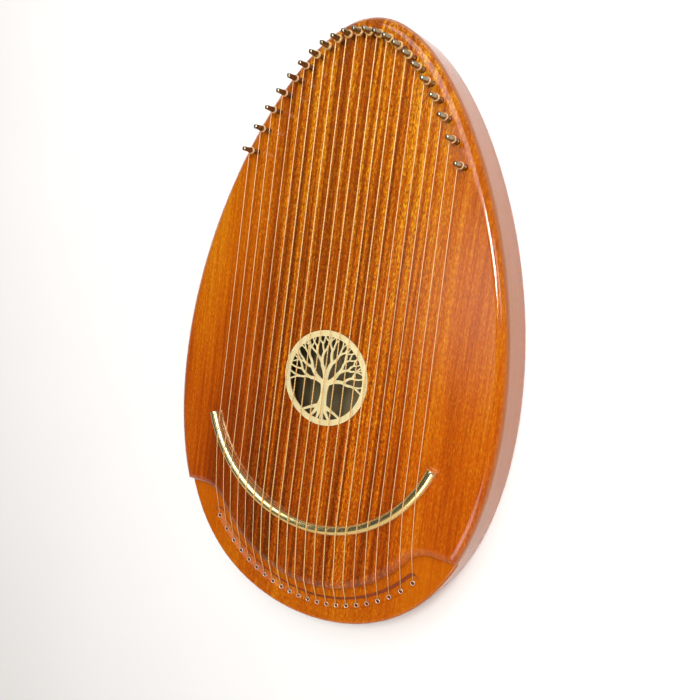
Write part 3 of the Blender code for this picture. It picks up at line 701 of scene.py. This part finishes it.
def make_bridge():
    """A bent bar with a rounded crown and eased ends."""
    half = BRIDGE_WIDTH / 2
    crown = BRIDGE_HEIGHT - half
    section = [(half - BRIDGE_EASE, 0.0), (half, BRIDGE_EASE), (half, crown)]
    section += [(p.x, p.y) for p in arc((0, crown), half, 0, math.pi, 20)[1:-1]]
    section += [(-half, crown), (-half, BRIDGE_EASE), (BRIDGE_EASE - half, 0.0)]
    shape = bmesh.new()
    loop = [shape.verts.new((BRIDGE_RADIUS + x, 0, z)) for x, z in section]
    shape.faces.new(loop)
    start = -math.pi / 2 - BRIDGE_HALF_ANGLE
    bmesh.ops.rotate(shape, verts=shape.verts, cent=(0, 0, 0), matrix=Matrix.Rotation(start, 3, "Z"))
    bmesh.ops.spin(shape, geom=shape.verts[:] + shape.edges[:] + shape.faces[:], cent=(0, 0, 0),
                   axis=(0, 0, 1), angle=2 * BRIDGE_HALF_ANGLE, steps=BRIDGE_STEPS)
    bmesh.ops.holes_fill(shape, edges=[edge for edge in shape.edges if edge.is_boundary])
    bmesh.ops.recalc_face_normals(shape, faces=shape.faces)
    ends = [face for face in shape.faces if len(face.verts) > 4]
    rims = {edge for face in ends for edge in face.edges}
    bmesh.ops.bevel(shape, geom=list(rims), offset=BRIDGE_END_EASE, segments=2, profile=0.5,
                    affect="EDGES", clamp_overlap=True, material=-1)
    bmesh.ops.translate(shape, verts=shape.verts, vec=BRIDGE_CENTRE + Vector((0, 0, BRIDGE_FOOT)))
    add_piece("bridge_bar", shape, BRASS, ["bridge"])


def stroke(points, widths):
    """The outline of a flat limb along a path, as wide at each point as its width says."""
    left = []
    right = []
    for index, (point, width) in enumerate(zip(points, widths)):
        before = points[max(index - 1, 0)]
        after = points[min(index + 1, len(points) - 1)]
        along = (after - before).normalized()
        across = Vector((-along.y, along.x)) * width / 2
        left.append(point + across)
        right.append(point - across)
    return right + left[::-1]


def bent_stroke(start, middle, end, widths, steps=8):
    """A limb through three points, drawn as one smooth bend."""
    points = []
    sizes = []
    for step in range(steps + 1):
        t = step / steps
        points.append(start * (1 - t) * (1 - 2 * t) + middle * 4 * t * (1 - t) + end * t * (2 * t - 1))
        sizes.append(widths[0] * (1 - t) * (1 - 2 * t) + widths[1] * 4 * t * (1 - t)
                     + widths[2] * t * (2 * t - 1))
    return stroke(points, sizes)


def to_ring(start, angle):
    """Where a line from inside the ring, at a heading, meets the ring."""
    reach = ROSE_RADIUS - ROSE_RING_WIDTH * 0.5
    way = heading(angle)
    along = start.dot(way)
    return start + way * (math.sqrt(along ** 2 - start.length_squared + reach ** 2) - along)


def grow(limbs, start, angle, width, level, sway):
    """Adds a bent limb that covers part of the way to the ring, and the two that fork from it."""
    whole = to_ring(start, angle) - start
    share = 1.0 if level == 0 else 0.42 + 0.05 * sway
    end = start + whole * share
    across = Vector((-whole.y, whole.x)).normalized()
    middle = (start + end) / 2 + across * (end - start).length * 0.09 * sway
    tip = width * (0.55 if level == 0 else 0.72)
    limbs.append(bent_stroke(start, middle, end, [width, width * 0.82, tip]))
    if level == 0:
        return
    root = end - (end - middle).normalized() * width * 0.3
    outward = math.atan2(whole.y, whole.x)
    for turn in FORK_TURNS:
        grow(limbs, root, outward + turn * (1 if sway > 0 else 0.85), width * FORK_WIDTH, level - 1,
             sway if turn > 0 else -sway)


def tree_limbs():
    """Trunk, roots and boughs of a bare tree that fills the sound hole, with a round knot at its fork."""
    fork = Vector((0.0005, -0.006))
    foot = Vector((-0.0005, -0.029))
    limbs = [[fork + heading(math.tau * step / 12) * KNOT_RADIUS for step in range(12)]]
    waist = (foot + fork) / 2 + Vector((0.0004, 0))
    limbs.append(bent_stroke(foot, waist, fork, [0.0125, 0.0072, 0.0092]))
    for turn, width in ((196, 0.0034), (222, 0.0040), (250, 0.0034), (284, 0.0036), (314, 0.0040),
                        (343, 0.0034)):
        end = to_ring(foot, math.radians(turn))
        sideways = math.cos(math.radians(turn))
        knee = foot * 0.5 + end * 0.5 + Vector((0, 0.0026 * abs(sideways)))
        start = foot + Vector((sideways * 0.0035, 0.0015))
        limbs.append(bent_stroke(start, knee, end, [width * 1.5, width * 0.8, width * 0.6]))
    for turn, width, sway in ((168, 0.0042, -1), (138, 0.0046, 1), (108, 0.0048, -1), (76, 0.0048, 1),
                              (46, 0.0046, -1), (14, 0.0042, 1)):
        base = fork + heading(math.radians(turn)) * 0.0015
        grow(limbs, base, math.radians(turn), width, 3 if 30 < turn < 150 else 2, sway)
    return limbs


def make_rosette():
    """The brass ring with its pierced tree, cut from one sheet."""
    outer = arc((0, 0), ROSE_RADIUS, 0, math.tau, ROSE_STEPS)[:-1]
    inner = arc((0, 0), ROSE_RADIUS - ROSE_RING_WIDTH, 0, math.tau, ROSE_STEPS)[:-1]
    corners = outer + inner
    faces = []
    for step in range(ROSE_STEPS):
        after = (step + 1) % ROSE_STEPS
        faces.append([step, after, after + ROSE_STEPS, step + ROSE_STEPS])
    for limb in tree_limbs():
        faces.append(list(range(len(corners), len(corners) + len(limb))))
        corners += limb
    merged = delaunay_2d_cdt(corners, [], faces, 1, 1e-6)
    shape = bmesh.new()
    underside = ROSE_TOP - ROSE_THICKNESS
    verts = [shape.verts.new((corner.x, corner.y + ROSE_Y, underside)) for corner in merged[0]]
    for face, sources in zip(merged[2], merged[5]):
        if sources:
            shape.faces.new([verts[index] for index in face])
    loose = [vert for vert in shape.verts if not vert.link_faces]
    bmesh.ops.delete(shape, geom=loose, context="VERTS")
    lifted = bmesh.ops.extrude_face_region(shape, geom=shape.faces[:])["geom"]
    moved = [item for item in lifted if isinstance(item, bmesh.types.BMVert)]
    bmesh.ops.translate(shape, verts=moved, vec=(0, 0, ROSE_THICKNESS))
    bmesh.ops.recalc_face_normals(shape, faces=shape.faces)
    add_piece("tree_rosette", shape, SHEET_BRASS, ["rosette"])


# Tuning pins, eyelets and ball ends

def squared(angle, half, power=5):
    """Distance from the middle to the edge of a square with round corners."""
    return half * (abs(math.cos(angle)) ** power + abs(math.sin(angle)) ** power) ** (-1 / power)


def pin_ring(pin, height, size, is_squared):
    """Places round a pin at a height above the soundboard."""
    places = []
    for side in range(PIN_SIDES):
        angle = math.tau * (side + 0.5) / PIN_SIDES
        radius = squared(angle, size) if is_squared else size
        places.append((pin.x + radius * math.cos(angle), pin.y + radius * math.sin(angle), FACE + height))
    return places


def make_pins():
    """Zither pins: a round shank, a shoulder and a tapered square head with a low crown."""
    rings = [(-PIN_BURIED, PIN_RADIUS * 0.8, False), (0.001 - PIN_BURIED, PIN_RADIUS, False),
             (PIN_HEAD_START - 0.0012, PIN_RADIUS, False),
             (PIN_HEAD_START - 0.0004, PIN_RADIUS * 0.97, False),
             (PIN_HEAD_START + 0.0006, PIN_HEAD_HALF, True)]
    rings += [(PIN_EXPOSED - drop, PIN_TOP_HALF * share, True) for drop, share in PIN_CROWN]
    for index, pin in enumerate(PINS):
        node = f"tuning_pin_{index + 1:02d}"
        shape = loft(pin_ring(pin, *ring) for ring in rings)
        add_piece(f"zither_pin_{index + 1:02d}", shape, NICKEL, [node], node, 40)


def make_eyelets():
    """Rolled eyelets: a short tube in each hole with its top turned over into a round lip. The tube below the
    seat is painted black as the shade down the hole.
    """
    lip = arc((0, 0), 1.0, math.pi, 0, 10)
    half_width = (EYELET_RADIUS - EYELET_BORE) / 2
    middle = (EYELET_RADIUS + EYELET_BORE) / 2
    profile = [(EYELET_BORE, -EYELET_DEPTH)]
    profile += [(middle + half_width * p.x, EYELET_HEIGHT * p.y) for p in lip]
    profile += [(EYELET_BORE + EYELET_WALL, 0.0), (EYELET_BORE + EYELET_WALL, -EYELET_DEPTH)]
    ring = spun(profile, HOLE_SIDES, (0, 0, EYELET_SEAT))
    piece = add_piece("string_eyelets", repeated(ring, HOLES), EYELET_PLATE)
    piece.data.materials.append(EYELET_BORE_SHADE)
    # Below the seat the tube is painted black, as the shade down the hole
    for face in piece.data.polygons:
        if face.center.z < EYELET_SEAT + 0.0001:
            face.material_index = 1


def make_ball_ends():
    """Small brass barrels that keep the strings from slipping up through their holes."""
    top = BALL_POCKET_DEPTH - BALL_GAP
    half = BALL_LENGTH / 2
    waist = BALL_RADIUS * BALL_WAIST
    profile = [(BALL_BORE, -half), (BALL_RADIUS - BALL_EASE, -half), (BALL_RADIUS, BALL_EASE - half),
               (waist, -BALL_WAIST_HALF), (waist, BALL_WAIST_HALF),
               (BALL_RADIUS, half - BALL_EASE), (BALL_RADIUS - BALL_EASE, half), (BALL_BORE, half)]
    barrel = spun(profile, SMALL_SIDES, (0, 0, top - half))
    add_piece("string_ball_ends", repeated(barrel, HOLES), BRASS)


# Strings

def wood_height(x, y):
    """Height of the soundboard, its rounded lower edge or the ledge under a point."""
    fillet = fillet_centre()
    lean = math.atan2(ARC_CENTRE_Y - fillet.y, fillet.x)
    side = abs(x)
    below = math.atan2(ARC_CENTRE_Y - y, side)
    if below > lean:
        inside = LEDGE_RADIUS - math.hypot(side, y - ARC_CENTRE_Y)
    elif side < fillet.x:
        inside = math.hypot(side - fillet.x, y - fillet.y) - LEDGE_FILLET
    else:
        inside = y - SHOULDER_Y
    if inside < 0:
        return LEDGE
    if inside >= FRONT_ROUND:
        return FACE
    return FACE - FRONT_ROUND + math.sqrt(FRONT_ROUND ** 2 - (FRONT_ROUND - inside) ** 2)


def upper_hull(profile):
    """The points that a taut string touches, from a list of (distance, height)."""
    hull = []
    for point in profile:
        while len(hull) > 1:
            (x0, z0), (x1, z1) = hull[-2:]
            if (z1 - z0) * (point[0] - x0) > (point[1] - z0) * (x1 - x0):
                break
            hull.pop()
        hull.append(point)
    return hull


def bridge_height(place):
    """Height of the bridge's crown over a point, or nothing beside the bar."""
    off = (place - BRIDGE_CENTRE).length - BRIDGE_RADIUS
    half = BRIDGE_WIDTH / 2
    if abs(off) >= half or place.y > BRIDGE_CENTRE.y:
        return 0.0
    return BRIDGE_TOP - half + math.sqrt(half ** 2 - off ** 2)


def winding(pin, wrap, radius, start):
    """Slack turns up the pin, clockwise from its left side, and the end that enters the pin."""
    pitch = 2 * radius + WINDING_SPACE
    points = []
    for step in range(WINDING_TURNS * TURN_STEPS + 1):
        turn = step / TURN_STEPS
        angle = math.pi - math.tau * turn
        height = start + pitch * turn
        points.append(Vector((pin.x + wrap * math.cos(angle), pin.y + wrap * math.sin(angle), height)))
    for share, back in ((1.04, 0.05), (0.8, 0.085), (0.3, 0.10)):
        angle = math.pi - math.tau * (WINDING_TURNS + back)
        height = start + pitch * (WINDING_TURNS + 0.35)
        points.append(Vector((pin.x + wrap * share * math.cos(angle),
                              pin.y + wrap * share * math.sin(angle), height)))
    return points


def string_path(index, radius):
    """Route of a string from its ball, up through its eyelet and over the wood and the bridge, to its pin.

    It leaves the eyelet on the side that faces the pin. Past the bridge it runs straight.
    """
    hole = HOLES[index]
    pin = PINS[index]
    wrap = PIN_RADIUS + radius + WINDING_SLACK
    tangent = Vector((pin.x - wrap, pin.y, 0))
    way = (tangent - hole).normalized()
    leaving = hole + way * (EYELET_BORE - radius)
    run = tangent - leaving
    end_height = FACE + WINDING_HEIGHT
    profile = [(0.0, EYELET_SEAT + EYELET_HEIGHT + radius * 0.5)]
    for step in range(FIRST_SAMPLE, ROUTE_SAMPLES):
        at = leaving + run * step / ROUTE_SAMPLES
        wood = wood_height(at.x, at.y) if at.y < SHOULDER_Y + FRONT_ROUND else FACE
        if at.y < BRIDGE_CENTRE.y:
            profile.append((step / ROUTE_SAMPLES, max(wood, bridge_height(at)) + radius))
    profile.append((1.0, end_height))
    route = [Vector((hole.x, hole.y, BALL_POCKET_DEPTH - BALL_LENGTH))]
    route.append(Vector((leaving.x, leaving.y, EYELET_SEAT - EYELET_DEPTH)))
    for share, height in upper_hull(profile)[:-1]:
        at = leaving + run * share
        route.append(Vector((at.x, at.y, height)))
    return route + winding(pin, wrap, radius, end_height)


def make_strings():
    """Each string as one closed tube along its route."""
    for index in range(STRING_COUNT):
        bass = index in BASS_STRINGS
        radius = BASS_RADIUS if bass else PLAIN_RADIUS
        points = string_path(index, radius)
        curve = bpy.data.curves.new("string", "CURVE")
        curve.dimensions = "3D"
        curve.bevel_depth = radius
        curve.bevel_resolution = 3
        curve.use_fill_caps = True
        spline = curve.splines.new("POLY")
        spline.points.add(len(points) - 1)
        for spot, point in zip(spline.points, points):
            spot.co = (*point, 1)
        drawn = bpy.data.objects.new("string", curve)
        bpy.context.scene.collection.objects.link(drawn)
        depsgraph = bpy.context.evaluated_depsgraph_get()
        mesh = bpy.data.meshes.new_from_object(drawn.evaluated_get(depsgraph))
        bpy.data.objects.remove(drawn)
        shape = bmesh.new()
        shape.from_mesh(mesh)
        bpy.data.meshes.remove(mesh)
        bmesh.ops.remove_doubles(shape, verts=shape.verts, dist=TOUCHING)
        number = f"{index + 1:02d}"
        material, slot = (BRONZE_WIRE, "bronze_wound_string") if bass else (STEEL_WIRE, "plated_steel_string")
        add_piece(f"wire_{number}", shape, material, [f"string_{number}"], smooth_angle=60)


# Floor, light and camera

def make_floor():
    """A sheet of matt white paper, which gives the eye one pale ground with hardly a shade in it."""
    shape = bmesh.new()
    bmesh.ops.create_grid(shape, x_segments=1, y_segments=1, size=6)
    mesh = bpy.data.meshes.new("floor")
    shape.to_mesh(mesh)
    shape.free()
    material, tree, shader = new_material("matt_white_paper", Roughness=0.9)
    place = add(tree, "TexCoord").outputs["Object"]
    fibre = add(tree, "TexNoise", inputs={"Vector": place, "Scale": 1000 / 250, "Detail": 2.0}).outputs[0]
    tone = add(tree, "Mix", {"data_type": "RGBA"}, {0: fibre, 6: linear("#F4F4F3"), 7: linear("#FAFAFA")})
    tree.links.new(tone.outputs[2], shader.inputs["Base Color"])
    mesh.materials.append(material)
    floor = bpy.data.objects.new("floor", mesh)
    bpy.context.scene.collection.objects.link(floor)


def add_softbox(name, place, size, power):
    """A white rectangular lamp that points at the harp's middle."""
    light = bpy.data.lights.new(name, "AREA")
    light.shape = "RECTANGLE"
    light.size, light.size_y = size
    light.energy = power
    lamp = bpy.data.objects.new(name, light)
    lamp.location = place
    lamp.rotation_mode = "QUATERNION"
    lamp.rotation_quaternion = (-Vector(place)).to_track_quat("-Z", "Y")
    bpy.context.scene.collection.objects.link(lamp)


def make_world():
    """Dim surroundings with a bright warm panel before the harp's tail and a soft glow above its right edge.

    The lacquer and the brass mirror them. The camera sees one plain pale backdrop instead.
    """
    world = bpy.data.worlds.new("studio")
    world.use_nodes = True
    tree = world.node_tree
    view = add(tree, "TexCoord").outputs["Generated"]
    split = add(tree, "SeparateXYZ", inputs={0: view})
    ahead = add(tree, "MapRange", {"interpolation_type": "SMOOTHSTEP"},
                {0: split.outputs[1], 1: -0.62, 2: -0.42, 3: 1.0, 4: 0.0}).outputs[0]
    panel = add(tree, "Math", {"operation": "MULTIPLY"}, {0: ahead, 1: 0.75}).outputs[0]
    dim = add(tree, "MapRange", inputs={
        0: split.outputs[2], 1: 0.30, 2: 0.60, 3: 0.28, 4: 0.05}).outputs[0]
    towards = add(tree, "VectorMath", {"operation": "DOT_PRODUCT"},
                  {0: view, 1: Vector((-0.30, -0.03, 0.953)).normalized()}).outputs["Value"]
    near = add(tree, "MapRange", inputs={0: towards, 1: math.cos(math.radians(12)), 2: 1.0}).outputs[0]
    glow = add(tree, "Math", {"operation": "POWER"}, {0: near, 1: 3.0}).outputs[0]
    light = add(tree, "Math", {"operation": "MULTIPLY"}, {0: glow, 1: 1.9}).outputs[0]
    for part in (dim, panel):
        light = add(tree, "Math", {"operation": "MAXIMUM"}, {0: light, 1: part}).outputs[0]
    warmth = add(tree, "Mix", {"data_type": "RGBA"}, {0: ahead, 6: linear("#FFFFFF"), 7: linear("#FFE8CC")})
    tinted = add(tree, "VectorMath", {"operation": "MULTIPLY"}, {0: light, 1: warmth.outputs[2]}).outputs[0]
    seen = add(tree, "LightPath").outputs["Is Camera Ray"]
    shown = add(tree, "Mix", {"data_type": "RGBA"}, {0: seen, 6: tinted, 7: linear("#E6E6E4")}).outputs[2]
    tree.links.new(shown, tree.nodes["Background"].inputs["Color"])
    bpy.context.scene.world = world


def make_camera():
    """The photograph's viewpoint, from the harp's right and above its face."""
    place = Vector((0.3688, 0.0794, 0.6888))
    right = Vector((0.86129, 0.13209, -0.49064))
    back = Vector((0.47592, 0.12851, 0.87005))
    turned = Matrix((right, back.cross(right), back)).transposed()
    lens = bpy.data.cameras.new("camera")
    lens.lens = 40.75
    lens.sensor_width = 36.0
    lens.clip_start = 0.01
    camera = bpy.data.objects.new("camera", lens)
    camera.matrix_world = Matrix.Translation(place) @ turned.to_4x4()
    bpy.context.scene.collection.objects.link(camera)
    bpy.context.scene.camera = camera


make_soundboard()
make_sides()
make_tail_block()
make_back()
make_bridge()
make_rosette()
make_pins()
make_eyelets()
make_ball_ends()
make_strings()
for node in ("soundboard_brace_upper", "soundboard_brace_middle", "soundboard_brace_lower",
             "back_brace_upper", "back_brace_lower"):
    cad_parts[node].material_slots[0].material = SPRUCE
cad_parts["pin_block"].material_slots[0].material = MAPLE
make_floor()
make_world()
add_softbox("overhead_softbox", (0.42, 0.33, 1.25), (0.28, 0.36), 11)
add_softbox("head_softbox", (-0.1, 1.15, 1.85), (1.5, 1.5), 25)
add_softbox("right_softbox", (1.40, 0.55, 1.45), (0.5, 0.5), 3.5)
add_softbox("tail_softbox", (0.9, -1.1, 1.3), (0.8, 0.8), 7)
make_camera()
bpy.context.scene.view_settings.view_transform = "Standard"
